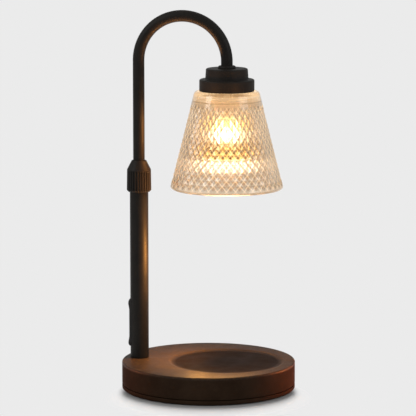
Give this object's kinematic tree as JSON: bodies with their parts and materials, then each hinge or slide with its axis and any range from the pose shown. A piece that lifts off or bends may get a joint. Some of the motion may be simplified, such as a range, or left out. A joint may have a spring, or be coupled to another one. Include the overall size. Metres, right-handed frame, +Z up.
{
  "type": "candle warmer lamp",
  "caption": "Table lamp that warms a jar candle from above: weighted round base, telescopic pole with twist lock and rocker switch, gooseneck arm, cut-glass cone shade.",
  "frame": {"origin": "centre of the base's underside, at table height", "axes": "+Z up, +X from the pole along the arm towards the shade, -X the rear with the switch and the cord inlet, -Y and +Y the sides"},
  "size_m": [0.15, 0.15, 0.3277],
  "materials": {
    "black_metal": "matt black-brown powder coat with a fine sand grain",
    "rubber": "matt",
    "cast_iron": "rough, as cast",
    "screw_steel": "zinc plated",
    "zinc_steel": "zinc plated",
    "brass": "turned",
    "nylon": "natural nylon",
    "black_plastic": "fine matt moulding",
    "clear_glass": "clear pressed glass, diamond cut outside, lit warm",
    "porcelain": "unglazed, off-white",
    "nickel": "nickel plated",
    "reflector_glass": "faceted, part-silvered reflector glass",
    "lens_glass": "clear front glass",
    "burner": "frosted burner, lit"
  },
  "bodies": {
    "base": {"base_shell": "black_metal", "bottom_plate": "black_metal", "foot_pad": "rubber", "ballast_disc": "cast_iron", "bottom_screws": "screw_steel", "cord_grommet": "rubber", "lower_pole": "black_metal", "pole_stud": "zinc_steel", "pole_washer": "zinc_steel", "pole_nut": "zinc_steel", "lock_body": "brass", "collet": "nylon", "switch_module": "black_plastic", "rocker_pin": "zinc_steel"},
    "lock_nut": {"lock_nut": "black_metal"},
    "slider": {"guide_bush": "nylon"},
    "arm": {"arm_tube": "black_metal", "bush_clips": "zinc_steel", "cap_ring": "black_metal", "shade_cap": "black_metal", "cap_spacer": "zinc_steel", "gallery_cup": "zinc_steel", "tube_nut": "zinc_steel", "shade_ring": "zinc_steel", "glass_shade": "clear_glass", "lampholder": "porcelain", "lampholder_face": "porcelain", "holder_screws": "screw_steel"},
    "lamp": {"lamp_base": "porcelain", "lamp_pins": "nickel", "lamp_reflector": "reflector_glass", "lamp_lens": "lens_glass", "lamp_capsule": "burner"},
    "rocker": {"switch_rocker": "black_plastic"}
  },
  "joints": [
    {"name": "arm_height", "type": "slide", "parent": "base", "child": "slider", "axis": [0, 0, 1], "range_m": [-0.062, 0.006]},
    {"name": "arm_swivel", "type": "hinge", "parent": "slider", "child": "arm", "pos_m": [-0.0615, 0, 0.15], "axis": [0, 0, 1], "range_deg": [-175, 175]},
    {"name": "lock_turn", "type": "hinge", "parent": "base", "child": "lock_nut", "pos_m": [-0.0615, 0, 0.18], "axis": [0, 0, 1], "range_deg": [0, 180]},
    {"name": "switch_press", "type": "hinge", "parent": "base", "child": "rocker", "pos_m": [-0.0645, 0, 0.0548], "axis": [0, 1, 0], "range_deg": [-3, 3], "stiffness_Nm_per_rad": 0.5},
    {"name": "lamp_twist", "type": "hinge", "parent": "arm", "child": "lamp", "pos_m": [0.016, 0, 0.2555], "axis": [0, 0, 1], "range_deg": [-28, 0]}
  ]
}
